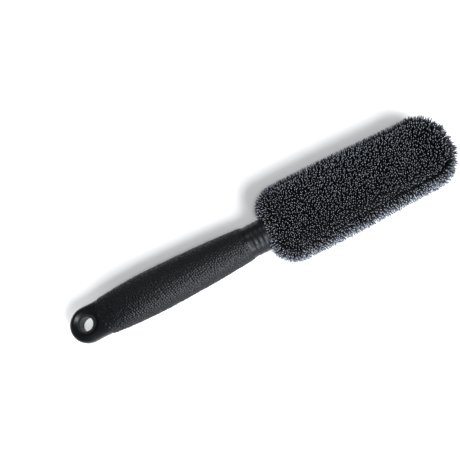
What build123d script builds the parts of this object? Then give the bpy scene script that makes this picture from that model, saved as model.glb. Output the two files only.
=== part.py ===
"""Microfibre wheel brush: a moulded handle with a soft grip and a flat padded head in a tufted sleeve.

Each separate piece is one STEP file in parts/. Millimetres. The brush lies flat with its length along X,
the butt of the handle at -X and the tip of the head at +X. The origin is under the middle of the brush, on
the surface that it rests on. The solids are drawn about the handle's axis, with "s" measured along it from
the butt, and moved to that origin as they are written.
"""

from build123d import *
import math
import os

# ---------------------------------------------------------------- driving dimensions
LENGTH = 345.0  # butt to tip of the pile
HEAD_THICK = 40.0  # over the pile
PILE = 8.0  # length of the tufts
CLOTH = 1.2  # knitted backing of the sleeve
SKIN = 3.0  # soft grip over the hard core
GAP = 0.1  # between pieces that are pushed or drawn together

# Hanging eye at the butt
EYE_R = 15.5  # outside radius of the butt, centred on the hole
HOLE_R = 6.0
EYE_RING_R = 8.0  # hard ring left bare round the hole
EYE_HALF = 5.0  # half height of that ring
DISH_R = 11.4  # the soft skin dishes down to the ring from here
DISH_FLARE = 1.2  # how far the top of the dish's wall leans out
DISH_DROP = 2.3  # height of that wall, from above the skin
DISH_FLOOR = (9.2, 0.75)  # a point of the dish's curved floor: radius, and height over the ring
ABOVE = 2.0  # cutters reach this far past the surface

# Neck collar
COLLAR_S = 166.0
COLLAR_END = 184.0
COLLAR_R = 13.3
RIB_PITCH = 4.2
RIB_COUNT = 3
RIB_START = 4.8  # first rib's middle, from the grip's end
RIB_WIDTH = 3.8
RIB_RISE = 0.3
RIB_ROOT = 0.3  # how deep a rib's foot goes into the collar
SPIGOT_R = 10.0
SPIGOT_END = 190.0
FACE_TOLERANCE = 1e-4

# Head, measured on the foam
FOAM_S = 188.7
FOAM_END = LENGTH - PILE - CLOTH
FOAM_HALF = HEAD_THICK / 2 - PILE - CLOTH
FOAM_WIDE = 24.5  # half width at the neck end
FOAM_NARROW = 21.5  # half width at the tip end
FOAM_CORNER = 13.5  # outline corners by the neck
FOAM_TIP_CORNER = 18.0  # outline corners at the tip
FOAM_EDGE = 6.6  # round of the foam's long edges
SEAM_Z = 10.2  # height of the seams above the middle of the head
NECK_PANEL_S = 199.0  # the side band starts here

# Blade
BLADE_THICK = 3.0
BLADE_HALF = 16.0
BLADE_TIP = 322.0
SHOULDER_S = 196.0
TANG_S = 146.0
TANG_HALF = 6.5
PIN_R = 1.5
PIN_S = (171.5, 179.5)
PIN_SUNK = 0.8  # below the spigot's surface
BLADE_TIP_CORNER = 13.0
BLADE_NECK_CORNER = 7.0
WINDOW_COUNT = 7  # holes in the blade that the foam bonds through
WINDOW_START = 17.0  # first hole's middle, from the shoulder
WINDOW_PITCH = 16.0
BLADE_WINDOW_R = 4.2

# Hem
HEM_IN = SPIGOT_R + GAP
HEM_OUT = COLLAR_R - GAP
ELASTIC_R = 0.8
THREAD_R = 0.35

# Handle sections: distance from the butt, half width, half thickness, squareness of the superellipse.
SECTIONS = [
    (EYE_R, EYE_R, 7.5, 3.2),
    (20.0, 15.4, 7.7, 3.1),
    (28.0, 15.4, 8.7, 2.8),
    (37.0, 16.1, 10.6, 2.5),
    (47.0, 17.0, 12.4, 2.3),
    (58.0, 17.6, 13.7, 2.2),
    (74.0, 18.0, 14.6, 2.1),
    (92.0, 17.8, 14.8, 2.05),
    (112.0, 17.1, 14.6, 2.0),
    (130.0, 16.3, 14.2, 2.0),
    (142.0, 15.5, 14.0, 2.0),
    (151.0, 14.8, 13.8, 2.0),
    (158.5, 14.2, 13.8, 2.0),
    (COLLAR_S, 13.5, 13.5, 2.0),
]
QUARTER_STEPS = 6

# Pockets moulded in both faces of the core, which the soft skin fills
POCKETS = [(40.0, 57.0), (60.0, 77.0), (80.0, 97.0), (100.0, 117.0), (120.0, 135.0)]
POCKET_HALF = 8.0
WEB_HALF = 2.6
WINDOW_R = 3.2


# ---------------------------------------------------------------- shapes that repeat
def quarter(a, b, n, s, side, up):
    """One quarter of a superellipse across the handle, from the side (a, 0) to the face (0, b)."""
    points = []
    for i in range(QUARTER_STEPS + 1):
        t = i / QUARTER_STEPS * math.pi / 2
        y = a * math.cos(t) ** (2 / n) if i < QUARTER_STEPS else 0.0
        z = b * math.sin(t) ** (2 / n)
        points.append((s, side * y, up * z))
    return Spline(*points, tangents=[(0, 0, up), (0, -side, 0)])


def section(s, a, b, n):
    """A whole superellipse across the handle, as four edges."""
    turns = [(1, 1), (-1, 1), (-1, -1), (1, -1)]
    return Face(Wire([quarter(a, b, n, s, side, up) for side, up in turns]))


def handle_body(inset_side, inset_face, last_s):
    """The handle's outer form, drawn in by the two insets, from the butt to the last section up to last_s."""
    rows = [(s, a - inset_side, b - inset_face, n) for s, a, b, n in SECTIONS if s <= last_s]
    body = loft([section(*row) for row in rows])
    s, a, b, n = rows[0]
    half = Face(Wire([quarter(a, b, n, s, 1, 1), quarter(a, b, n, s, 1, -1), Line((s, 0, -b), (s, 0, b))]))
    butt = revolve(half, Axis((s, 0, 0), (0, 0, 1)), 180)
    return body + butt


def upright(radius, low, high, s=EYE_R):
    """A cylinder standing across the handle's faces."""
    return Pos(s, 0, (low + high) / 2) * Cylinder(radius, high - low)


def ring(inner, outer, start, end):
    """A plain tube round the handle's axis."""
    turned = Plane.YZ.offset(start)
    return extrude(turned * (Circle(outer) - Circle(inner)), end - start)


def rod(radius, start, end):
    return extrude(Plane.YZ.offset(start) * Circle(radius), end - start)


def slab(s0, s1, half_y, z0, z1):
    """A box given by its limits."""
    return Pos((s0 + s1) / 2, 0, (z0 + z1) / 2) * Box(s1 - s0, 2 * half_y, z1 - z0)


def outline(grow):
    """The head's plan outline as a face, grown from the foam's by that much."""
    taper = (FOAM_WIDE - FOAM_NARROW) / (FOAM_END - FOAM_S)
    start, end = FOAM_S - grow, FOAM_END + grow
    wide = FOAM_WIDE + grow + taper * grow
    narrow = FOAM_NARROW + grow - taper * grow
    corners = Polyline((start, -wide), (end, -narrow), (end, narrow), (start, wide), close=True)
    face = make_face(corners)
    by_end = face.vertices().sort_by(Axis.X)
    face = fillet(by_end[:2], FOAM_CORNER + grow)
    by_end = face.vertices().sort_by(Axis.X)
    return fillet(by_end[-2:], FOAM_TIP_CORNER + grow)


def head_block(grow):
    """The padded head's form, grown from the foam by that much in every direction."""
    half = FOAM_HALF + grow
    block = extrude(outline(grow), half, both=True)
    edges = block.edges().filter_by(lambda e: abs(abs(e.center().Z) - half) < FACE_TOLERANCE)
    return fillet(edges, FOAM_EDGE + grow)


def round_bar(path, radius):
    """A round bar swept along a flat path."""
    start = Plane(origin=path @ 0, z_dir=path % 0)
    return sweep(start * Circle(radius), path)


# ---------------------------------------------------------------- handle
def tang_slot(end):
    """The slot that the blade's tang is pushed into."""
    return slab(TANG_S - GAP, end, TANG_HALF + GAP, -BLADE_THICK / 2 - GAP, BLADE_THICK / 2 + GAP)


def make_core():
    """Hard core: eye ring, ribbed bar and the spigot that carries the head."""
    bar = handle_body(SKIN, EYE_HALF / 2, COLLAR_S)
    bar = bar + upright(EYE_RING_R, -EYE_HALF, EYE_HALF) + rod(SPIGOT_R, COLLAR_S, SPIGOT_END)
    cuts = [upright(HOLE_R, -HEAD_THICK, HEAD_THICK), tang_slot(SPIGOT_END + ABOVE)]
    cuts += [upright(PIN_R, -HEAD_THICK, HEAD_THICK, s) for s in PIN_S]
    for s0, s1 in POCKETS:
        cuts.append(slab(s0, s1, POCKET_HALF, WEB_HALF, HEAD_THICK))
        cuts.append(slab(s0, s1, POCKET_HALF, -HEAD_THICK, -WEB_HALF))
        cuts.append(upright(WINDOW_R, -WEB_HALF, WEB_HALF, (s0 + s1) / 2))
    return bar - cuts


def dish_cutter():
    """What is cut from the skin's upper face round the hole: a steep wall, then a curved floor down to the ring."""
    top = SECTIONS[0][2] + ABOVE
    floor_r, floor_rise = DISH_FLOOR
    wall = Polyline((0, 0), (0, top), (DISH_R + DISH_FLARE, top), (DISH_R, top - DISH_DROP))
    floor = ThreePointArc((DISH_R, top - DISH_DROP), (floor_r, EYE_HALF + floor_rise), (EYE_RING_R, EYE_HALF))
    back = Polyline((EYE_RING_R, EYE_HALF), (EYE_RING_R, 0), (0, 0))
    across = Plane((EYE_R, 0, 0), x_dir=(1, 0, 0), z_dir=(0, -1, 0))
    return revolve(across * make_face(wall + floor + back), Axis((EYE_R, 0, 0), (0, 0, 1)))


def make_grip(core_form):
    """Soft skin moulded over the core, dished down to the bare ring round the hole on both faces."""
    upper = dish_cutter()
    return handle_body(0, 0, COLLAR_S) - [upper, mirror(upper, Plane.XY)] - core_form


def rib(middle):
    """One shallow ring round the collar."""
    low, high = middle - RIB_WIDTH / 2, middle + RIB_WIDTH / 2
    foot = COLLAR_R - RIB_ROOT
    crown = ThreePointArc((low, COLLAR_R), (middle, COLLAR_R + RIB_RISE), (high, COLLAR_R))
    base = Polyline((high, COLLAR_R), (high, foot), (low, foot), (low, COLLAR_R))
    return revolve(make_face(crown + base), Axis.X)


def make_collar():
    """Ring-ribbed collar pushed over the spigot, closing the joint between grip and head."""
    collar = ring(SPIGOT_R + GAP / 2, COLLAR_R, COLLAR_S, COLLAR_END)
    for k in range(RIB_COUNT):
        collar += rib(COLLAR_S + RIB_START + k * RIB_PITCH)
    return collar


def make_pins():
    """Two steel pins that lock the blade's tang in the spigot."""
    half = SPIGOT_R - PIN_SUNK
    return Compound([upright(PIN_R, -half, half, s) for s in PIN_S])


# ---------------------------------------------------------------- head
def make_blade():
    """Flexible flat blade: a tang for the spigot and a perforated paddle for the foam."""
    middle, length = (SHOULDER_S + BLADE_TIP) / 2, BLADE_TIP - SHOULDER_S
    paddle = Pos(middle, 0) * Rectangle(length, 2 * BLADE_HALF)
    paddle = fillet(paddle.vertices().sort_by(Axis.X)[-2:], BLADE_TIP_CORNER)
    paddle = fillet(paddle.vertices().sort_by(Axis.X)[:2], BLADE_NECK_CORNER)
    tang_end = SHOULDER_S + ABOVE
    flat = paddle + Pos((TANG_S + tang_end) / 2, 0) * Rectangle(tang_end - TANG_S, 2 * TANG_HALF)
    for k in range(WINDOW_COUNT):
        flat -= Pos(SHOULDER_S + WINDOW_START + WINDOW_PITCH * k, 0) * Circle(BLADE_WINDOW_R)
    pins = [upright(PIN_R, -HEAD_THICK, HEAD_THICK, s) for s in PIN_S]
    return extrude(flat, BLADE_THICK / 2, both=True) - pins


def make_foam(block, pockets, up):
    """Half of the foam pad, with pockets for its half of the blade and of the spigot's end."""
    low, high = (0, HEAD_THICK) if up else (-HEAD_THICK, 0)
    return (block & slab(0, LENGTH, HEAD_THICK, low, high)) - pockets


def split_cover(shell):
    """Cuts a cover layer into its front, back, side and neck pieces along the seams."""
    far = 2 * HEAD_THICK
    front = shell & slab(0, 2 * LENGTH, far, SEAM_Z, far)
    back = shell & slab(0, 2 * LENGTH, far, -far, -SEAM_Z)
    side = shell & slab(NECK_PANEL_S, 2 * LENGTH, far, -SEAM_Z, SEAM_Z)
    neck = shell & slab(0, NECK_PANEL_S, far, -SEAM_Z, SEAM_Z)
    return front, back, side, neck


def seam_path(z):
    """Line of a seam round the head: the middle of the cloth at that height."""
    round_r = FOAM_EDGE + CLOTH / 2
    centre = FOAM_HALF + CLOTH / 2 - round_r
    drawn_in = round_r - math.sqrt(round_r**2 - (abs(z) - centre) ** 2)
    wire = outline(CLOTH / 2 - drawn_in).face().outer_wire()
    return Pos(0, 0, z) * wire


def make_hem():
    """Folded binding round the mouth of the sleeve, with a channel for the elastic."""
    middle = (COLLAR_END + FOAM_S - CLOTH) / 2
    hem = ring(HEM_IN, HEM_OUT, COLLAR_END + GAP, FOAM_S - CLOTH - GAP)
    elastic = Pos(middle, 0, 0) * Rot(0, 90, 0) * Torus((HEM_IN + HEM_OUT) / 2, ELASTIC_R)
    return hem - elastic, elastic


# ---------------------------------------------------------------- the assembly
def build():
    core = make_core()
    grip = make_grip(core + tang_slot(SPIGOT_END))
    blade = make_blade()
    foam_block = head_block(0)
    bore = rod(SPIGOT_R + GAP, 0, SPIGOT_END + GAP)

    cloth_block = head_block(CLOTH)
    pile_block = head_block(CLOTH + PILE)
    neck_room = rod(COLLAR_R + RIB_RISE + GAP, 0, FOAM_S - CLOTH)
    cloth = cloth_block - [foam_block, bore]
    pile = pile_block - [cloth_block, neck_room, bore]
    panel_front, panel_back, panel_side, panel_neck = split_cover(cloth)
    pile_front, pile_back, pile_side, pile_neck = split_cover(pile)

    thread_front = round_bar(seam_path(SEAM_Z), THREAD_R) - bore
    thread_back = round_bar(seam_path(-SEAM_Z), THREAD_R) - bore
    hem, elastic = make_hem()
    return {
        "handle_core": core,
        "grip": grip,
        "neck_collar": make_collar(),
        "tang_pins": make_pins(),
        "blade": blade,
        "foam_front": make_foam(foam_block, [blade, bore], True),
        "foam_back": make_foam(foam_block, [blade, bore], False),
        "panel_front": panel_front - thread_front,
        "panel_back": panel_back - thread_back,
        "panel_side": panel_side - thread_front - thread_back,
        "panel_neck": panel_neck - thread_front - thread_back,
        "pile_front": pile_front,
        "pile_back": pile_back,
        "pile_side": pile_side,
        "pile_neck": pile_neck,
        "seam_thread_front": thread_front,
        "seam_thread_back": thread_back,
        "hem_binding": hem,
        "hem_elastic": elastic,
    }


os.makedirs("parts", exist_ok=True)
for node, shape in build().items():
    placed = Pos(-LENGTH / 2, 0, HEAD_THICK / 2) * shape
    export_step(placed, f"parts/{node}.step")
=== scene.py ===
"""Looks of the wheel brush: a grained soft grip and a padded head in a sleeve of microfibre tufts.

Lengths are in metres, in the row frame: X runs along the handle to the head's tip, and Z points out of the
head's upper face.
"""

import math

import bpy
import numpy as np
from mathutils import Matrix, Vector, kdtree, noise
from mathutils.bvhtree import BVHTree


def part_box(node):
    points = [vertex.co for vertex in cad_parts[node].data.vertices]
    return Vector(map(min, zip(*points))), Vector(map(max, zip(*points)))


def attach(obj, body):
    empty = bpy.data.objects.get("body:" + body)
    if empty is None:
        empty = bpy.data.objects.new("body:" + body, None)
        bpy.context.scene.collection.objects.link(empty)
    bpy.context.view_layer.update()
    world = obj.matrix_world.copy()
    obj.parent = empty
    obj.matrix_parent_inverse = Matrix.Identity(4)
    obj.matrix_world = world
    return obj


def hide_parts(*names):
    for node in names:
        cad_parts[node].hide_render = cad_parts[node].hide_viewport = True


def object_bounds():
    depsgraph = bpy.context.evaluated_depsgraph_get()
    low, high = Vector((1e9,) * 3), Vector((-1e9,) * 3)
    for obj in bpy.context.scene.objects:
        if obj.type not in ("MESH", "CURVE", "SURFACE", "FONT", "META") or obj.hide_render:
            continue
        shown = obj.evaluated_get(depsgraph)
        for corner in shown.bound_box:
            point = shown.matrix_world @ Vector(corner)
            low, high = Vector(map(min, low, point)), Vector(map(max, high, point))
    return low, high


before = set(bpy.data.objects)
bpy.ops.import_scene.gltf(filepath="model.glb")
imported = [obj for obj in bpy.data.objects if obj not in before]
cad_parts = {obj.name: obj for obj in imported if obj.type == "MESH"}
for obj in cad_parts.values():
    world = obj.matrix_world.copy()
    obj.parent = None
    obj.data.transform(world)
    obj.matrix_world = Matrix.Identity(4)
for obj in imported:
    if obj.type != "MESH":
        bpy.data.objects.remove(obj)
CAD_LOW, CAD_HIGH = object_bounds()

MM = 0.001
RNG = np.random.default_rng(20)
AXIS_Z = (CAD_LOW.z + CAD_HIGH.z) / 2  # height of the handle's axis
BUTT_X = CAD_LOW.x

# Cloth of the head: its outline at mid height, and the round of its long edges.
NECK_HALF_WIDTH = 25.8 * MM
TIP_HALF_WIDTH = 22.7 * MM
NECK_CORNER = 13.7 * MM
TIP_CORNER = 19.2 * MM
EDGE_ROUND = 7.8 * MM
CLOTH_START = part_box("hem_binding")[1].x + 0.1 * MM
CLOTH_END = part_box("panel_side")[1].x
CLOTH_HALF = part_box("panel_front")[1].z - AXIS_Z
SEAM_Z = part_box("panel_front")[0].z - AXIS_Z
WALL_HALF = CLOTH_HALF - EDGE_ROUND  # the straight part of the head's side
SEAM_ANGLE = math.asin((SEAM_Z - WALL_HALF) / EDGE_ROUND)  # where the seams lie on the rounded edge
COLLAR_R = (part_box("neck_collar")[1].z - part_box("neck_collar")[0].z) / 2
COLLAR_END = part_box("neck_collar")[1].x

# Where the tufts grow
TUFT_PITCH = 1.88 * MM  # between neighbours: at the roots on the flat, at the tips where the cloth curves
SIDE_PITCH = 2.05 * MM  # the same, round the side of the head
SIDE_ROW = 0.9  # least distance between the side's rows, in pitches
PITCH_JITTER = 0.09  # in pitches
ROW_JITTER = 0.1  # in pitches
SEAM_ROOM = 0.45  # kept free on each side of a seam, in pitches
MOUTH_DEPTH = 1.5 * MM  # of the band at the sleeve's mouth where the collar leaves no room for tufts
MOUTH_ROOM = 0.4 * MM
MOUTH_R = 10.1 * MM  # hole in the sleeve's neck piece, round the spigot
OUTLINE_STEP = 0.4 * MM
FINE_STEP = 0.2 * MM
CORNER_POINTS = 60

# Size and form of the tufts
TUFT_LENGTH = CAD_HIGH.z - AXIS_Z - CLOTH_HALF
TUFT_R = 0.40 * MM
TIP_REACH = 0.9 * TUFT_LENGTH  # height over the cloth at which the tips' spacing is counted
FAN = (EDGE_ROUND + TIP_REACH) / EDGE_ROUND  # how far the tufts spread out over the round of the edge
TUFT_SIDES = 6
TUFT_PLIES = 3
TUFT_RINGS = ((0, 0.62), (0.35, 0.78), (0.66, 1.0), (0.88, 0.92), (0.97, 0.50))  # place along, girth
TUFT_GIRTHS = (0.86, 1.14)  # thinnest and thickest tuft, in TUFT_R
TUFT_TWIST = 0.65  # turns from root to tip
PLY_DEPTH = 0.12
ROOT_DEPTH = 0.3 * MM  # of the tufts' feet in the cloth
LENGTH_MEAN = 1.06  # in TUFT_LENGTH, as are the next two
LENGTH_SPREAD = 0.045
LENGTH_LIMITS = (0.9, 1.2)
FULLEST = 70 * MM  # where the tufts of the long sides are longest
FULL_SPREAD = 45 * MM
FULLER = 0.14  # how much longer they are there, in TUFT_LENGTH
TIP_RAGGED = 140 * MM  # from here to the tip some tufts stand out further
RAGGED_FADE = 20 * MM
RAGGED = 0.4  # how much longer they are at most, in TUFT_LENGTH

# How the tufts lean
COMB_WIDE = 17 * MM  # size of the wide patches that lie the same way
COMB_FINE = 6 * MM
WIDE_WEIGHT = 1.5
FINE_WEIGHT = 0.7
COMB_AMOUNT = 0.12
CLOUD_SHIFTS = (3.7, 11.3, 23.9)
STRAY_LEAN = 0.055
TIPWARD_LEAN = 0.10
LEAN_BEND = 1.5  # power of the length by which a lean grows, so that the tufts bend
CURL = 0.07
CURL_BACK = 0.6  # share of the length at which a curl crosses the tuft's line again
SEAM_LEANS = 6 * MM  # tufts within this of a seam lean away from it
SEAM_LEAN = 0.02
SEAM_OPENS = 95 * MM  # from here to the tip they lean away more
SEAM_FADE = 40 * MM
SEAM_OPEN_LEAN = 0.12  # what is added to SEAM_LEAN there
COLLAR_ROOM = 1.0 * MM  # tufts are pushed out of the collar up to this far past its end

# Texture space and colours of the tufts
TONES = 16  # strips of the texture space, one for each tone
TONE_MARGIN = 0.03
ALONG_MARGIN = 0.01
# Colours along a tuft: painted shade, nearly black, at the root and up the shaft, and a painted highlight at
# the tip.
TUFT_ROOT_SHADE = (0.0012, 0.0013, 0.0016)
TUFT_SHAFT_SHADE = (0.004, 0.0045, 0.0055)
TUFT_NECK = (0.036, 0.039, 0.045)
TUFT_TIP_HIGHLIGHT = (0.94, 1.0, 1.1)
# Painted light: the tufts round the side of the head get lighter colours than those on the faces.
FACE_LIGHTING = (0.28, 0.47)  # strength of the shaft's and of the tip's colour
SIDE_LIGHTING = (2.6, 0.80)
SIDE_LIGHT_FADES = (7.5 * MM, 19.8 * MM)  # heights from the middle between which the side's painted light fades out
TONE_DARK = (0.45, 0.45, 0.45, 1)

# Grain of the grip
GRAIN_START = BUTT_X + 25.5 * MM
GRAIN_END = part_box("neck_collar")[0].x - 0.2 * MM
GRAIN_BULGE = 5.5 * MM  # how much further from the butt the grain starts at the grip's sides
BULGE_POWER = 1.6
GRAIN_PITCH = 1.9 * MM
GRAIN_HEIGHT = 0.75 * MM
GRAIN_STEP = 0.42 * MM
GRAIN_GIRTH = 2 * math.pi * 17 * MM
GRAIN_FADE = 3.0 * MM  # over which the grain rises at each end
GRAIN_OUT = 0.03 * MM  # of the valleys over the smooth skin
GRAIN_SUNK = 0.10 * MM  # of both ends under the level of the valleys
GRAIN_FOOT = 0.5 * MM  # of the grain sleeve's inner wall under the skin
INNER_EVERY = 16  # the inner wall has one ring for so many of the outer
BAND_JITTER = 0.15
CELL_JITTER = 0.35
CELL_HEIGHTS = (0.55, 1.0)
CELL_RIM = 0.35  # height of a cell away from its centre, as a share of its middle
VALLEY_WIDTH = 0.8 * MM
DOME_R = 1.5 * MM
OUTSIDE_GRIP = 50 * MM  # distance from the axis that is outside the grip everywhere

# Relief of the soft pieces
KNIT_ROW = 1.5 * MM
KNIT_LOOP = 1.3 * MM
KNIT_VOXEL = 0.45 * MM
KNIT_DEPTH = 0.08 * MM
HEM_RIBS = 80  # once round the axis
HEM_VOXEL = 0.25 * MM
HEM_DEPTH = 0.03 * MM
FOAM_CELL = 1.6 * MM
FOAM_VOXEL = 1.0 * MM
FOAM_DEPTH = 0.12 * MM

# Colours of the other materials
RUBBER = (0.0026, 0.0029, 0.0040)
COLLAR_DARK = (0.0025, 0.003, 0.004)
COLLAR_LIGHT = (0.004, 0.005, 0.0065)
CORE_DARK = (0.006, 0.0065, 0.007)
CORE_LIGHT = (0.010, 0.0105, 0.011)
BLADE_DARK = (0.50, 0.50, 0.46)
BLADE_LIGHT = (0.60, 0.60, 0.56)
STEEL_DARK = (0.45, 0.45, 0.46)
STEEL_LIGHT = (0.58, 0.58, 0.59)
KNIT_DARK = (0.0015, 0.0015, 0.0017)
KNIT_LIGHT = (0.006, 0.006, 0.007)
FOAM_DARK = (0.07, 0.07, 0.08)
FOAM_LIGHT = (0.20, 0.21, 0.23)
TAPE_GREY = 0.012
ELASTIC_GREY = 0.02

# Stage
FLOOR_SIZE = 6
FLOOR_DARK = 0.90
FLOOR_LIGHT = 0.92
WORLD_COLOUR = (0.95, 0.97, 1.0, 1)
WORLD_STRENGTH = 0.22
COOL = (0.95, 0.97, 1.0)
COOLER = (0.90, 0.95, 1.0)
WHITE = (1, 1, 1)
HEAD_SIDE = (0.05, 0, 0.02)
MIDDLE = (0, 0, 0.02)
LIGHTS = (  # name, place, aim, width, height, watts, colour
    ("key", (0.35, -0.80, 0.95), HEAD_SIDE, 0.5, 0.5, 25, COOL),
    ("low", (0.05, -1.00, 0.34), HEAD_SIDE, 0.6, 0.3, 14, COOLER),
    ("front", (0.10, -0.45, 1.30), MIDDLE, 0.12, 0.12, 3.5, WHITE),
    ("rim", (-0.10, 0.70, 1.20), MIDDLE, 0.4, 0.4, 4.5, WHITE),
)

# Camera, as a point, the point that it looks at, and how steeply the brush rises across the picture.
CAMERA_PLACE = Vector((0.0154, -0.1429, 0.5309))
CAMERA_AIM = Vector((-0.0163, 0.0171, 0.0202))
AXIS_RISE = math.radians(27.2)
LENS = 50.65


# ---------------------------------------------------------------- meshes
def make_object(name, points, face_sets, uv_sets=None):
    """A smooth-shaded mesh object from arrays of points and of faces with equal numbers of corners."""
    mesh = bpy.data.meshes.new(name)
    mesh.vertices.add(len(points))
    mesh.vertices.foreach_set("co", np.asarray(points, np.float32).ravel())
    corners = np.concatenate([faces.ravel() for faces in face_sets]).astype(np.int32)
    sizes = np.concatenate([np.full(len(faces), faces.shape[1]) for faces in face_sets])
    starts = (np.cumsum(sizes) - sizes).astype(np.int32)
    mesh.loops.add(len(corners))
    mesh.loops.foreach_set("vertex_index", corners)
    mesh.polygons.add(len(sizes))
    mesh.polygons.foreach_set("loop_start", starts)
    mesh.update(calc_edges=True)
    if uv_sets is not None:
        layer = mesh.uv_layers.new(name="OFBake")
        flat = np.concatenate([uv.reshape(-1, 2) for uv in uv_sets]).astype(np.float32)
        layer.data.foreach_set("uv", flat.ravel())
    mesh.shade_smooth()
    obj = bpy.data.objects.new(name, mesh)
    bpy.context.scene.collection.objects.link(obj)
    return obj


def finish_piece(obj, material):
    """Gives a piece its material, and lets it ride on the brush."""
    obj.data.materials.clear()
    obj.data.materials.append(material)
    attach(obj, "root")


def smooth_step(x):
    """Rises smoothly from 0 to 1 as x does, and stays level beyond."""
    x = np.clip(x, 0, 1)
    return x * x * (3 - 2 * x)


def unit(v):
    """Vectors along the last axis, each made one long."""
    return v / np.maximum(np.linalg.norm(v, axis=-1, keepdims=True), 1e-12)


# ---------------------------------------------------------------- materials
class Shader:
    """A material's node tree, with short calls for the nodes used here."""

    def __init__(self, name, roughness=0.5, **settings):
        self.material = bpy.data.materials.new(name)
        self.material.use_nodes = True
        self.nodes = self.material.node_tree.nodes
        self.links = self.material.node_tree.links
        self.surface = self.nodes["Principled BSDF"]
        self.surface.inputs["Roughness"].default_value = roughness
        for socket, value in settings.items():
            self.surface.inputs[socket.replace("_", " ")].default_value = value

    def node(self, kind, inputs=(), **attributes):
        made = self.nodes.new(kind)
        for key, value in attributes.items():
            setattr(made, key, value)
        for key, value in dict(inputs).items():
            if isinstance(value, bpy.types.NodeSocket):
                self.links.new(value, made.inputs[key])
            else:
                made.inputs[key].default_value = value
        return made

    def place(self):
        """Position on the object, in metres, which is the row frame."""
        return self.node("ShaderNodeTexCoord").outputs["Object"]

    def noise(self, where, size, detail=3.0, roughness=0.5):
        """Cloud noise with features of about that size, from 0 to 1."""
        inputs = {"Vector": where, "Scale": 1 / size, "Detail": detail, "Roughness": roughness}
        return self.node("ShaderNodeTexNoise", inputs).outputs["Fac"]

    def maths(self, operation, first, second=0.0, third=0.0):
        return self.node("ShaderNodeMath", {0: first, 1: second, 2: third}, operation=operation).outputs[0]

    def ramp(self, factor, *stops):
        """Colours or greys by a factor: stops are (place, colour) or (place, grey)."""
        made = self.node("ShaderNodeValToRGB", {"Fac": factor})
        elements = made.color_ramp.elements
        while len(elements) < len(stops):
            elements.new(0.5)
        for element, (at, colour) in zip(elements, stops):
            element.position = at
            element.color = (*colour, 1) if isinstance(colour, tuple) else (colour, colour, colour, 1)
        return made.outputs["Color"]

    def mix(self, factor, first, second, blend="MIX"):
        """The two colours mixed by the factor: each may be a socket or a colour with its alpha."""
        inputs = {0: factor, 6: first, 7: second}
        return self.node("ShaderNodeMix", inputs, data_type="RGBA", blend_type=blend).outputs[2]

    def colour(self, value):
        self.links.new(value, self.surface.inputs["Base Color"])

    def rough(self, value):
        self.links.new(value, self.surface.inputs["Roughness"])

    def bump(self, height, distance, strength=1.0):
        """Raises the surface by up to that distance where height is 1."""
        inputs = {"Height": height, "Distance": distance, "Strength": strength}
        if self.surface.inputs["Normal"].is_linked:
            inputs["Normal"] = self.surface.inputs["Normal"].links[0].from_socket
        self.links.new(self.node("ShaderNodeBump", inputs).outputs["Normal"], self.surface.inputs["Normal"])


def grip_material(name, tint):
    """Blue-black soft rubber, faintly clouded, with a fine matt grain."""
    shader = Shader(name, Specular_IOR_Level=0.17)
    where = shader.place()
    cloud = shader.noise(where, 14 * MM)
    dark = tuple(0.72 * c for c in tint)
    shader.colour(shader.ramp(cloud, (0.3, dark), (0.75, tint)))
    shader.rough(shader.ramp(shader.noise(where, 1.1 * MM), (0.25, 0.28), (0.8, 0.44)))
    shader.bump(shader.noise(where, 0.28 * MM, detail=2), 0.03 * MM, 0.6)
    return shader.material


def collar_material():
    """Smooth dark plastic, a little glossier in places."""
    shader = Shader("collar_plastic", Specular_IOR_Level=0.15)
    where = shader.place()
    shader.colour(shader.ramp(shader.noise(where, 9 * MM), (0.3, COLLAR_DARK), (0.8, COLLAR_LIGHT)))
    shader.rough(shader.ramp(shader.noise(where, 0.9 * MM), (0.2, 0.30), (0.8, 0.44)))
    shader.bump(shader.noise(where, 0.35 * MM, detail=2), 0.015 * MM, 0.5)
    return shader.material


def core_material():
    """Hard moulded plastic with a fine spark-eroded finish."""
    shader = Shader("core_plastic", Specular_IOR_Level=0.25)
    where = shader.place()
    shader.colour(shader.ramp(shader.noise(where, 6 * MM), (0.3, CORE_DARK), (0.8, CORE_LIGHT)))
    shader.rough(shader.ramp(shader.noise(where, 0.6 * MM), (0.2, 0.38), (0.8, 0.55)))
    shader.bump(shader.noise(where, 0.2 * MM, detail=1), 0.01 * MM, 0.5)
    return shader.material


def tuft_shade(shader, along, shaft, tip):
    """Colour along a tuft: painted shade, nearly black, between the tufts, and a painted highlight, grey, at
    the tip.
    """
    return shader.ramp(
        along,
        (0.0, TUFT_ROOT_SHADE),
        (0.5, tuple(shaft * c for c in TUFT_SHAFT_SHADE)),
        (0.86, tuple(shaft * c for c in TUFT_NECK)),
        (1.0, tuple(tip * c for c in TUFT_TIP_HIGHLIGHT)),
    )


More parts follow.
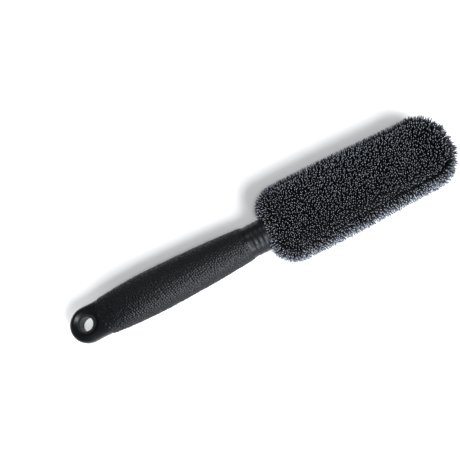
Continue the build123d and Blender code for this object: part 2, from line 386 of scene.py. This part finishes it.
def tuft_material():
    """Twisted microfibre in a few tones, with painted shade and a painted highlight along each tuft, and
    painted light making the side lighter than the faces.
    """
    shader = Shader("pile", roughness=0.8, Specular_IOR_Level=0.02)
    uv = shader.node("ShaderNodeUVMap", uv_map="OFBake").outputs["UV"]
    split = shader.node("ShaderNodeSeparateXYZ", {"Vector": uv}).outputs
    strip = shader.maths("MULTIPLY", split["X"], TONES)
    tone = shader.maths("FLOOR", strip)
    turn = shader.maths("FRACT", strip)
    along = split["Y"]
    own = shader.node("ShaderNodeTexWhiteNoise", {"W": tone}, noise_dimensions="1D").outputs["Value"]
    height = shader.node("ShaderNodeSeparateXYZ", {"Vector": shader.place()}).outputs["Z"]
    rise = shader.maths("ABSOLUTE", shader.maths("SUBTRACT", height, AXIS_Z))
    # painted light: tufts near the middle height, round the side, take the lighter side colours
    low, high = SIDE_LIGHT_FADES
    side_lit = shader.maths("MULTIPLY", shader.maths("SUBTRACT", high, rise), 1 / (high - low))
    shade = shader.mix(
        shader.ramp(side_lit, (0.0, 0.0), (1.0, 1.0)),
        tuft_shade(shader, along, *FACE_LIGHTING),
        tuft_shade(shader, along, *SIDE_LIGHTING),
    )
    darker = shader.mix(1.0, shade, TONE_DARK, "MULTIPLY")
    toned = shader.mix(own, darker, shade)
    # painted shade in the grooves between the twisted plies
    ply = shader.maths("SINE", shader.maths("MULTIPLY", turn, 2 * math.pi * TUFT_PLIES))
    ply_groove_shade = shader.ramp(shader.maths("MULTIPLY_ADD", ply, 0.5, 0.5), (0.0, 0.55), (0.45, 1.0))
    shader.colour(shader.mix(1.0, toned, ply_groove_shade, "MULTIPLY"))
    return shader.material


def knit_material():
    """Knitted backing: close dark rows of loops."""
    shader = Shader("backing_knit", roughness=0.95, Specular_IOR_Level=0.15, Sheen_Weight=0.2)
    where = shader.place()
    split = shader.node("ShaderNodeSeparateXYZ", {"Vector": where}).outputs
    rows = shader.maths("SINE", shader.maths("MULTIPLY", split["X"], 2 * math.pi / (1.2 * MM)))
    loops = shader.maths("SINE", shader.maths("MULTIPLY", split["Y"], 2 * math.pi / (0.9 * MM)))
    knit = shader.maths("MULTIPLY_ADD", shader.maths("MULTIPLY", rows, loops), 0.5, 0.5)
    shader.colour(shader.ramp(knit, (0.1, KNIT_DARK), (0.9, KNIT_LIGHT)))
    shader.bump(knit, 0.12 * MM, 0.8)
    return shader.material


def fine_cloth_material(name, light):
    """Woven tape, thread or elastic: dark, with a fine fleck."""
    shader = Shader(name, roughness=0.9, Specular_IOR_Level=0.2)
    where = shader.place()
    fleck = shader.noise(where, 0.4 * MM, detail=1)
    dark = (0.5 * light, 0.5 * light, 0.52 * light)
    shader.colour(shader.ramp(fleck, (0.25, dark), (0.8, (light, light, 1.05 * light))))
    shader.bump(fleck, 0.06 * MM, 0.7)
    return shader.material


def foam_material():
    """Open-cell foam: fine pits."""
    shader = Shader("foam", roughness=0.95, Specular_IOR_Level=0.1)
    where = shader.place()
    inputs = {"Vector": where, "Scale": 1 / (0.7 * MM)}
    cells = shader.node("ShaderNodeTexVoronoi", inputs).outputs["Distance"]
    shader.colour(shader.ramp(cells, (0.1, FOAM_DARK), (0.7, FOAM_LIGHT)))
    shader.bump(cells, 0.2 * MM, 0.8)
    return shader.material


def blade_material():
    """Pale plastic, as moulded."""
    shader = Shader("blade_plastic", Specular_IOR_Level=0.5)
    where = shader.place()
    shader.colour(shader.ramp(shader.noise(where, 10 * MM), (0.3, BLADE_DARK), (0.8, BLADE_LIGHT)))
    shader.rough(shader.ramp(shader.noise(where, 0.8 * MM), (0.2, 0.35), (0.8, 0.5)))
    return shader.material


def steel_material():
    """Drawn steel."""
    shader = Shader("pin_steel", Metallic=1.0)
    where = shader.place()
    shader.colour(shader.ramp(shader.noise(where, 2 * MM), (0.2, STEEL_DARK), (0.9, STEEL_LIGHT)))
    shader.rough(shader.ramp(shader.noise(where, 0.3 * MM), (0.2, 0.25), (0.8, 0.4)))
    return shader.material


# ---------------------------------------------------------------- grip
def cad_tree(node):
    """A tree of a CAD node's faces, for casting rays at it."""
    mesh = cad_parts[node].data
    mesh.calc_loop_triangles()
    points = [v.co for v in mesh.vertices]
    return BVHTree.FromPolygons(points, [tuple(t.vertices) for t in mesh.loop_triangles])


def skin_point(tree, x, angle):
    """Point of the grip's outer surface, at that place along the axis and angle round it."""
    out = Vector((0, math.cos(angle), math.sin(angle)))
    axis = Vector((x, 0, AXIS_Z))
    return tree.ray_cast(axis + out * OUTSIDE_GRIP, -out)[0]


def grain_edge(angle):
    """Where the grain starts at that angle: nearest the butt on the two faces, further off at the sides."""
    return GRAIN_START + GRAIN_BULGE * (1 - abs(math.sin(angle)) ** BULGE_POWER)


def skin_grid(tree, rows, columns):
    """The grip's surface under the grain as a grid of points with smooth outward directions."""
    points = np.zeros((rows, columns, 3))
    for j in range(columns):
        angle = 2 * math.pi * (j + 0.5) / columns
        start = grain_edge(angle)
        for i in range(rows):
            x = start + (GRAIN_END - start) * i / (rows - 1)
            points[i, j] = skin_point(tree, x, angle)
    ahead = np.gradient(points, axis=0)
    around = np.roll(points, -1, 1) - np.roll(points, 1, 1)
    return points, unit(np.cross(around, ahead))


def grain_cells(points, pitch):
    """Centres of the grain's cells: a jittered net over the surface."""
    rows, columns = points.shape[:2]
    centres = []
    length = np.linalg.norm(np.diff(points[:, 0], axis=0), axis=1).sum()
    bands = int(length / pitch)
    for band in range(bands + 1):
        i = (rows - 1) * (band + RNG.uniform(-BAND_JITTER, BAND_JITTER)) / bands
        ring = points[int(np.clip(i, 0, rows - 1))]
        girth = np.linalg.norm(np.roll(ring, -1, 0) - ring, axis=1).sum()
        count = int(girth / pitch)
        for k in range(count):
            place = k + 0.5 * (band % 2) + RNG.uniform(-CELL_JITTER, CELL_JITTER)
            shift = (rows - 1) / bands * RNG.uniform(-CELL_JITTER, CELL_JITTER)
            j = int(columns * place / count) % columns
            centres.append(points[int(np.clip(i + shift, 0, rows - 1)), j])
    return np.array(centres)


def grain_height(points, centres):
    """Height of the grain: low domes of several heights, with a narrow valley between neighbours."""
    tree = kdtree.KDTree(len(centres))
    for k, centre in enumerate(centres):
        tree.insert(centre, k)
    tree.balance()
    tall = RNG.uniform(*CELL_HEIGHTS, len(centres))
    heights = np.zeros(len(points))
    for n, point in enumerate(points):
        (_, first, near), (_, _, far) = tree.find_n(point, 2)
        valley = min(1.0, (far - near) / VALLEY_WIDTH)
        dome = max(0.0, 1 - (near / DOME_R) ** 2)
        heights[n] = tall[first] * (CELL_RIM + (1 - CELL_RIM) * dome) * valley * (2 - valley)
    return heights


def grain_lift(points):
    """How far the grain stands off the smooth skin at each grid point, sinking under it at both ends."""
    rows, columns = points.shape[:2]
    centres = grain_cells(points, GRAIN_PITCH)
    height = grain_height(points.reshape(-1, 3), centres).reshape(rows, columns)
    from_start = (points[:, :, 0] - points[:1, :, 0]) / GRAIN_FADE
    from_end = (points[-1:, :, 0] - points[:, :, 0]) / GRAIN_FADE
    fade = smooth_step(np.minimum(from_start, from_end))
    return GRAIN_OUT + (GRAIN_HEIGHT * height) * fade - GRAIN_SUNK * (1 - fade)


def closed_sleeve(outer, inner):
    """Faces and texture places of a sleeve that runs along the outer rings and back along the inner ones."""
    total = len(outer) + len(inner)
    columns = outer.shape[1]
    i, j = np.meshgrid(np.arange(total), np.arange(columns), indexing="ij")
    ahead = (i + 1) % total
    side = (j + 1) % columns
    corners = (i * columns + j, i * columns + side, ahead * columns + side, ahead * columns + j)
    faces = np.stack(corners, -1).reshape(-1, 4)
    v0 = i / total
    v1 = (i + 1) / total
    u0 = j / columns
    u1 = (j + 1) / columns
    uv = np.stack([np.stack(place, -1) for place in ((u0, v0), (u1, v0), (u1, v1), (u0, v1))], 2)
    return faces, uv.reshape(-1, 4, 2)


def make_grain():
    """Leather grain of the grip: a closed sleeve that stands just proud of the smooth CAD skin."""
    columns = int(GRAIN_GIRTH / GRAIN_STEP)
    rows = int((GRAIN_END - GRAIN_START) / GRAIN_STEP)
    points, normals = skin_grid(cad_tree("grip"), rows, columns)
    outer = points + normals * grain_lift(points)[:, :, None]
    under_rows = np.unique(np.linspace(0, rows - 1, rows // INNER_EVERY).astype(int))
    under = points[under_rows] - normals[under_rows] * GRAIN_FOOT
    faces, uv = closed_sleeve(outer, under)
    grid = np.concatenate([outer, under[::-1]])
    obj = make_object("grip_grain", grid.reshape(-1, 3), [faces], [uv])
    finish_piece(obj, grip_material("grip_rubber_grained", RUBBER))


# ---------------------------------------------------------------- head outline
def rounded_outline(corners, radii, step):
    """Points and outward directions, evenly spaced round a convex outline with rounded corners."""
    corners = np.array(corners)
    along = unit(np.roll(corners, -1, 0) - corners)
    out = np.stack([along[:, 1], -along[:, 0]], 1)
    points = []
    normals = []
    for i, radius in enumerate(radii):
        before = out[i - 1]
        after = out[i]
        centre = corners[i] - (before + after) * radius / (1 + before @ after)
        first = math.atan2(before[1], before[0])
        turn = math.acos(np.clip(before @ after, -1, 1))
        angles = first + turn * np.linspace(0, 1, CORNER_POINTS)
        ring = np.stack([np.cos(angles), np.sin(angles)], 1)
        points.append(centre + radius * ring)
        normals.append(ring)
    closed = np.vstack(points + [points[0][:1]])
    closed_n = np.vstack(normals + [normals[0][:1]])
    run = np.concatenate([[0], np.cumsum(np.linalg.norm(np.diff(closed, axis=0), axis=1))])
    count = int(round(run[-1] / step))
    at = np.arange(count) * run[-1] / count
    spaced = np.stack([np.interp(at, run, closed[:, k]) for k in (0, 1)], 1)
    facing = np.stack([np.interp(at, run, closed_n[:, k]) for k in (0, 1)], 1)
    return spaced, unit(facing)


def head_outline(step):
    """The cloth's outline at mid height, anticlockwise seen from above."""
    corners = [
        (CLOTH_START, -NECK_HALF_WIDTH),
        (CLOTH_END, -TIP_HALF_WIDTH),
        (CLOTH_END, TIP_HALF_WIDTH),
        (CLOTH_START, NECK_HALF_WIDTH),
    ]
    return rounded_outline(corners, [NECK_CORNER, TIP_CORNER, TIP_CORNER, NECK_CORNER], step)


def face_roots(pitch, up):
    """Roots, outward directions and seam leans of the tufts on one flat face, out to its seam."""
    edge, edge_out = head_outline(OUTLINE_STEP)
    inner = edge - edge_out * EDGE_ROUND
    reach = FAN * EDGE_ROUND * (math.pi / 2 - SEAM_ANGLE)
    low = inner.min(0) - reach
    high = inner.max(0) + reach
    row_step = pitch * math.sqrt(3) / 2
    flat = []
    for row, y in enumerate(np.arange(low[1], high[1] + row_step, row_step)):
        xs = np.arange(low[0], high[0] + pitch, pitch) + 0.5 * pitch * (row % 2)
        flat.append(np.stack([xs, np.full_like(xs, y)], 1))
    flat = np.vstack(flat)
    flat += RNG.normal(0, PITCH_JITTER * pitch, flat.shape)
    gap = flat[:, None, :] - inner[None, :, :]
    nearest = (gap**2).sum(-1).argmin(1)
    beyond = (gap[np.arange(len(flat)), nearest] * edge_out[nearest]).sum(1)
    keep = beyond < reach - SEAM_ROOM * pitch
    flat, nearest, beyond = flat[keep], nearest[keep], np.maximum(beyond[keep], 0)
    foot = np.where(beyond[:, None] > 0, inner[nearest], flat)
    lift = math.pi / 2 - beyond / (FAN * EDGE_ROUND)
    roots, facing = edge_point(foot, edge_out[nearest], lift, up)
    to_middle = np.concatenate([-edge_out[nearest] * np.sin(lift)[:, None], up * np.cos(lift)[:, None]], 1)
    near_seam = smooth_step(1 - (reach - beyond) / SEAM_LEANS)
    return roots, facing, to_middle * near_seam[:, None]


def edge_point(foot, out, lift, up):
    """Surface point and direction on the round of the edge: foot is on the round's centre line."""
    facing = np.concatenate([out * np.cos(lift)[:, None], up * np.sin(lift)[:, None]], 1)
    centre = np.concatenate([foot, np.full((len(foot), 1), AXIS_Z + up * WALL_HALF)], 1)
    return centre + EDGE_ROUND * facing, facing


def side_roots(pitch):
    """Roots, outward directions and seam leans of the tufts on the band round the head's edge."""
    arc = FAN * EDGE_ROUND * SEAM_ANGLE
    half = WALL_HALF + arc - SEAM_ROOM * pitch
    count = 2 * int(half / (SIDE_ROW * pitch)) + 1
    roots = []
    facing = []
    leans = []
    whole_edge, whole_out = head_outline(FINE_STEP)
    tips = whole_edge + whole_out * TIP_REACH
    girth = np.cumsum(np.linalg.norm(np.roll(tips, -1, 0) - tips, axis=1))
    in_row = int(girth[-1] / pitch)
    for row, run in enumerate(np.linspace(-half, half, count)):
        at = np.arange(in_row) + 0.5 * (row % 2) + RNG.normal(0, PITCH_JITTER, in_row)
        picks = np.searchsorted(girth, (at * girth[-1] / in_row) % girth[-1]) % len(tips)
        edge = whole_edge[picks]
        out = whole_out[picks]
        run = run + RNG.normal(0, ROW_JITTER * pitch, len(picks))
        up = np.where(run >= 0, 1.0, -1.0)
        lift = np.maximum(np.abs(run) - WALL_HALF, 0) / (FAN * EDGE_ROUND)
        on_wall = np.abs(run) < WALL_HALF
        height = np.where(on_wall, run, up * (WALL_HALF + EDGE_ROUND * np.sin(lift)))
        drawn_in = EDGE_ROUND * (1 - np.cos(lift))
        roots.append(np.column_stack([edge - out * drawn_in[:, None], AXIS_Z + height]))
        facing.append(np.column_stack([out * np.cos(lift)[:, None], up * np.sin(lift)]))
        away = np.column_stack([out * np.sin(lift)[:, None], -up * np.cos(lift)])
        near_seam = smooth_step(1 - (half - np.abs(run)) / SEAM_LEANS)
        leans.append(away * near_seam[:, None])
    return np.vstack(roots), np.vstack(facing), np.vstack(leans)


def clear_of_mouth(roots):
    """Which tufts grow outside the mouth of the sleeve, where the collar comes out."""
    from_axis = np.hypot(roots[:, 1], roots[:, 2] - AXIS_Z)
    at_mouth = roots[:, 0] < CLOTH_START + MOUTH_DEPTH
    return ~(at_mouth & (from_axis < COLLAR_R + MOUTH_ROOM))


# ---------------------------------------------------------------- tufts
def cloud_vector(point):
    """A smooth vector field, each part from -1 to 1."""
    return np.array([noise.noise(point + Vector((shift, 2 * shift, 5 * shift))) for shift in CLOUD_SHIFTS])


def combed(roots, facing):
    """A smooth field of leans over the head, so that neighbouring tufts lie the same way in places."""
    leans = np.zeros_like(roots)
    for n, root in enumerate(roots):
        point = Vector(root)
        wide = WIDE_WEIGHT * cloud_vector(point / COMB_WIDE)
        leans[n] = wide + FINE_WEIGHT * cloud_vector(point / COMB_FINE)
    leans = leans * COMB_AMOUNT + RNG.normal(0, STRAY_LEAN, leans.shape)
    leans[:, 0] += TIPWARD_LEAN
    return leans - (leans * facing).sum(1, keepdims=True) * facing


def clear_of_collar(line, radius):
    """Pushes points of the tufts out of the collar, so that they lie against it."""
    offset = line[..., 1:] - np.array([0, AXIS_Z])
    away = np.linalg.norm(offset, axis=-1)
    room = COLLAR_R + radius
    pushed = (line[..., 0] < COLLAR_END + COLLAR_ROOM) & (away < room)
    scale = np.where(pushed, room / np.maximum(away, 1e-9), 1.0)
    line[..., 1:] = np.array([0, AXIS_Z]) + offset * scale[..., None]
    return line


def above_table(root, reach_out):
    """How much of its length each tuft keeps so that it ends where the head rests."""
    room = root[:, 2] - (CAD_LOW.z + 0.5 * TUFT_R)
    return np.minimum(1, room / np.maximum(-reach_out[:, 2], 1e-9))


def tuft_lengths(roots, facing):
    """Length of each tuft: ragged towards the tip, and fuller in the middle of the long sides."""
    count = len(roots)
    ragged = smooth_step((roots[:, 0] - TIP_RAGGED) / RAGGED_FADE) * RNG.uniform(0, RAGGED, count)
    full = FULLER * np.exp(-(((roots[:, 0] - FULLEST) / FULL_SPREAD) ** 2)) * facing[:, 1] ** 2
    own = np.clip(RNG.normal(LENGTH_MEAN, LENGTH_SPREAD, count), *LENGTH_LIMITS)
    return TUFT_LENGTH * (own + ragged + full)


def tuft_lines(roots, facing, lean, length, curl, along):
    """Middle line of each tuft, as points at those shares of its length."""
    t = along[None, :, None]
    line = roots[:, None] - facing[:, None] * ROOT_DEPTH
    bend = facing[:, None] * t + lean[:, None] * t**LEAN_BEND + curl[:, None] * t * (t - CURL_BACK)
    stretch = np.linalg.norm(facing + lean + (1 - CURL_BACK) * curl, axis=1)
    reach_out = bend * (length / stretch)[:, None, None]
    line = line + reach_out * above_table(line[:, 0], reach_out[:, -1])[:, None, None]
    return clear_of_collar(line, TUFT_R)


def rope_rings(line, facing, radius, turn, along, girth):
    """Points of each tuft's rings: a rope of a few plies, twisted round its middle line."""
    rings = len(girth)
    heading = unit(np.gradient(line, axis=1))
    aside = np.where(np.abs(facing[:, None, 2:]) > 0.7, [1.0, 0, 0], [0, 0, 1.0])
    across = unit(np.cross(heading, aside))
    square = np.cross(heading, across)
    twist = turn[:, None] + 2 * math.pi * TUFT_TWIST * along[None, :rings]
    spoke = 2 * math.pi * np.arange(TUFT_SIDES) / TUFT_SIDES
    angle = twist[:, :, None] + spoke[None, None, :]
    deep = np.minimum(1, 1.6 - along[:rings])[None, :, None]
    lobes = 1 + PLY_DEPTH * np.cos(TUFT_PLIES * spoke)[None, None, :] * deep
    reach = radius[:, None, None] * girth[None, :, None] * lobes
    spread = across[:, :rings, None] * np.cos(angle)[..., None]
    spread = spread + square[:, :rings, None] * np.sin(angle)[..., None]
    return line[:, :rings, None] + reach[..., None] * spread


def make_tufts(name, roots, facing, seam_lean, node, material):
    """Twisted tufts, each a closed tapering rope with a rounded tip, as one piece for a panel's pile."""
    keep = clear_of_mouth(roots)
    roots, facing, seam_lean = roots[keep], facing[keep], seam_lean[keep]
    count = len(roots)
    opening = SEAM_LEAN + SEAM_OPEN_LEAN * smooth_step((roots[:, :1] - SEAM_OPENS) / SEAM_FADE)
    lean = combed(roots, facing) + opening * seam_lean
    length = tuft_lengths(roots, facing)
    radius = TUFT_R * RNG.uniform(*TUFT_GIRTHS, count)
    curl = RNG.normal(0, CURL, (count, 3))
    turn = RNG.uniform(0, 2 * math.pi, count)
    along = np.array([t for t, _ in TUFT_RINGS] + [1.0])
    girth = np.array([r for _, r in TUFT_RINGS])
    line = tuft_lines(roots, facing, lean, length, curl, along)
    ring_points = rope_rings(line, facing, radius, turn, along, girth)
    tips = line[:, -1:]
    feet = line[:, :1]
    points = np.concatenate([ring_points.reshape(count, -1, 3), tips, feet], 1)
    faces, uvs = tuft_faces(count, along)
    obj = make_object(name, points.reshape(-1, 3), faces, uvs)
    finish_piece(obj, material)
    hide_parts(node)


def strip_place(k):
    """Place across a tone's strip for the k-th side of a tuft."""
    return TONE_MARGIN + (1 - 2 * TONE_MARGIN) * k / TUFT_SIDES


def tuft_faces(count, along):
    """Faces of every tuft and their texture places: across a strip by the angle, up it by the length."""
    sides = TUFT_SIDES
    rings = len(TUFT_RINGS)
    per_tuft = rings * sides + 2
    base = (np.arange(count) * per_tuft)[:, None]
    tone = RNG.integers(0, TONES, count)[:, None]
    i, j = (a.ravel() for a in np.meshgrid(np.arange(rings - 1), np.arange(sides), indexing="ij"))
    nxt = (j + 1) % sides
    quads = np.stack([i * sides + j, i * sides + nxt, (i + 1) * sides + nxt, (i + 1) * sides + j], 1)
    quad_u = np.stack([strip_place(j), strip_place(j + 1), strip_place(j + 1), strip_place(j)], 1)
    quad_v = np.stack([along[i], along[i], along[i + 1], along[i + 1]], 1)
    j = np.arange(sides)
    nxt = (j + 1) % sides
    last = (rings - 1) * sides
    tips = np.stack([last + j, last + nxt, np.full(sides, per_tuft - 2)], 1)
    feet = np.stack([nxt, j, np.full(sides, per_tuft - 1)], 1)
    fan_u = np.stack([strip_place(j), strip_place(j + 1), strip_place(j + 0.5)], 1)
    tip_v = np.tile([along[rings - 1], along[rings - 1], 1.0], (sides, 1))
    foot_v = np.zeros((sides, 3))
    sets = [(quads, quad_u, quad_v), (tips, fan_u, tip_v), (feet, fan_u[:, [1, 0, 2]], foot_v)]
    faces = [(base[:, :, None] + f[None]).reshape(-1, f.shape[1]) for f, _, _ in sets]
    uvs = []
    for _, u, v in sets:
        wide = (tone[:, :, None] + u[None]) / TONES
        high = np.broadcast_to(ALONG_MARGIN + (1 - 2 * ALONG_MARGIN) * v[None], wide.shape)
        uvs.append(np.stack([wide, high], -1))
    return faces, uvs


def make_pile():
    """The tufts of the sleeve's four pieces, in the place of the four closed pile solids."""
    pile = tuft_material()
    for name, up, node in (("tufts_front", 1.0, "pile_front"), ("tufts_back", -1.0, "pile_back")):
        make_tufts(name, *face_roots(TUFT_PITCH, up), node, pile)
    roots, facing, leans = side_roots(SIDE_PITCH)
    at_neck = roots[:, 0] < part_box("panel_side")[0].x
    make_tufts("tufts_side", roots[~at_neck], facing[~at_neck], leans[~at_neck], "pile_side", pile)
    make_tufts("tufts_neck", roots[at_neck], facing[at_neck], leans[at_neck], "pile_neck", pile)


# ---------------------------------------------------------------- sleeve cloth and foam
def knit_relief(points):
    """Rows of knitted loops, from -1 to 1."""
    rows = np.sin(2 * math.pi * points[:, 0] / KNIT_ROW)
    loops = np.sin(2 * math.pi * (points[:, 1] + points[:, 2]) / KNIT_LOOP)
    return rows * loops


def woven_relief(points):
    """Ribs of a woven tape or a covered elastic, round the handle's axis."""
    turn = np.arctan2(points[:, 2] - AXIS_Z, points[:, 1])
    return np.sin(HEM_RIBS * turn)


def cell_relief(points):
    """Open cells of cut foam."""
    return np.array([noise.noise(Vector(point) / FOAM_CELL) for point in points])


def soft_copy(node, name, voxel, relief, depth):
    """A finely meshed soft piece in the place of a CAD node, with its relief in the mesh."""
    obj = bpy.data.objects.new(name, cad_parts[node].data.copy())
    bpy.context.scene.collection.objects.link(obj)
    remesh = obj.modifiers.new("voxels", "REMESH")
    remesh.mode = "VOXEL"
    remesh.voxel_size = voxel
    done = obj.evaluated_get(bpy.context.evaluated_depsgraph_get())
    obj.data = bpy.data.meshes.new_from_object(done)
    obj.modifiers.clear()
    mesh = obj.data
    points = np.zeros(3 * len(mesh.vertices), np.float32)
    normals = np.zeros_like(points)
    mesh.vertices.foreach_get("co", points)
    mesh.vertex_normals.foreach_get("vector", normals)
    points, normals = points.reshape(-1, 3), normals.reshape(-1, 3)
    points += normals * (depth * relief(points) - depth)[:, None]
    mesh.vertices.foreach_set("co", points.ravel())
    mesh.update()
    mesh.shade_smooth()
    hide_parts(node)
    return obj


def sleeve_cuts():
    """Flat length, width and area of each piece, from a pattern of the head and not from the cloth's mesh."""
    edge, out = head_outline(FINE_STEP)
    face = edge + out * (EDGE_ROUND * (math.pi / 2 - SEAM_ANGLE) - EDGE_ROUND)
    after = np.roll(face, -1, 0)
    face_area = abs((face[:, 0] * after[:, 1] - after[:, 0] * face[:, 1]).sum()) / 2
    face_cut = (*np.ptp(face, axis=0), face_area)
    steps = np.linalg.norm(np.roll(edge, -1, 0) - edge, axis=1)
    at_neck = edge[:, 0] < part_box("panel_side")[0].x
    side, neck = steps[~at_neck].sum(), steps[at_neck].sum()
    band = 2 * (WALL_HALF + EDGE_ROUND * SEAM_ANGLE)
    return {
        "front": face_cut,
        "back": face_cut,
        "side": (side, band, side * band),
        "neck": (neck, band, neck * band - math.pi * MOUTH_R**2),
    }


def make_sleeve():
    """The knitted cloth that the tufts grow from, in four cut pieces, with its binding and elastic."""
    knit = knit_material()
    for side, (length, width, area) in sleeve_cuts().items():
        cloth = soft_copy("panel_" + side, "knit_" + side, KNIT_VOXEL, knit_relief, KNIT_DEPTH)
        finish_piece(cloth, knit)
    for node, tint in (("hem_binding", TAPE_GREY), ("hem_elastic", ELASTIC_GREY)):
        band = soft_copy(node, node + "_woven", HEM_VOXEL, woven_relief, HEM_DEPTH)
        finish_piece(band, fine_cloth_material(node, tint))


def make_foam():
    """The two halves of the foam pad."""
    foam = foam_material()
    for side in ("front", "back"):
        pad = soft_copy("foam_" + side, "foam_pad_" + side, FOAM_VOXEL, cell_relief, FOAM_DEPTH)
        finish_piece(pad, foam)


# ---------------------------------------------------------------- CAD nodes that stay
def dress_cad():
    """Procedural materials for the CAD nodes that are shown as they are."""
    looks = {
        "handle_core": core_material(),
        "grip": grip_material("grip_rubber_smooth", RUBBER),
        "neck_collar": collar_material(),
        "tang_pins": steel_material(),
        "blade": blade_material(),
    }
    thread = fine_cloth_material("thread", TAPE_GREY)
    looks |= {node: thread for node in ("seam_thread_front", "seam_thread_back")}
    for node, material in looks.items():
        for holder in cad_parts[node].material_slots:
            holder.material = material


# ---------------------------------------------------------------- stage
def make_floor():
    """A white table at the height where the head rests."""
    bpy.ops.mesh.primitive_plane_add(size=FLOOR_SIZE, location=(0, 0, CAD_LOW.z))
    floor = bpy.context.object
    floor.name = "floor"
    shader = Shader("floor", roughness=0.9, Specular_IOR_Level=0.22)
    where = shader.place()
    shader.colour(shader.ramp(shader.noise(where, 0.4), (0.3, FLOOR_DARK), (0.7, FLOOR_LIGHT)))
    floor.data.materials.append(shader.material)


def area_light(name, place, aim, width, height, power, colour):
    """A soft box of that width and height in metres."""
    light = bpy.data.lights.new(name, "AREA")
    light.shape = "RECTANGLE"
    light.size = width
    light.size_y = height
    light.energy = power
    light.color = colour
    obj = bpy.data.objects.new(name, light)
    obj.location = place
    obj.rotation_euler = (Vector(aim) - Vector(place)).to_track_quat("-Z", "Y").to_euler()
    bpy.context.scene.collection.objects.link(obj)


def make_lights():
    """A dim even world and the soft boxes."""
    world = bpy.data.worlds.new("studio")
    bpy.context.scene.world = world
    world.use_nodes = True
    background = world.node_tree.nodes["Background"]
    background.inputs["Color"].default_value = WORLD_COLOUR
    background.inputs["Strength"].default_value = WORLD_STRENGTH
    for light in LIGHTS:
        area_light(*light)


def make_camera():
    """The camera, turned so that the handle's axis rises across the picture by AXIS_RISE."""
    data = bpy.data.cameras.new("camera")
    data.lens = LENS
    data.clip_start = 0.01
    camera = bpy.data.objects.new("camera", data)
    back = (CAMERA_PLACE - CAMERA_AIM).normalized()
    along = (Vector((1, 0, 0)) - back * back.x).normalized()
    right = Matrix.Rotation(-AXIS_RISE, 3, back) @ along
    up = back.cross(right)
    turned = Matrix((right, up, back)).transposed().to_4x4()
    camera.matrix_world = Matrix.Translation(CAMERA_PLACE) @ turned
    bpy.context.scene.collection.objects.link(camera)
    bpy.context.scene.camera = camera
    bpy.context.scene.view_settings.view_transform = "Standard"


# ---------------------------------------------------------------- the scene
make_camera()
make_floor()
make_lights()
dress_cad()
make_grain()
make_foam()
make_sleeve()
make_pile()
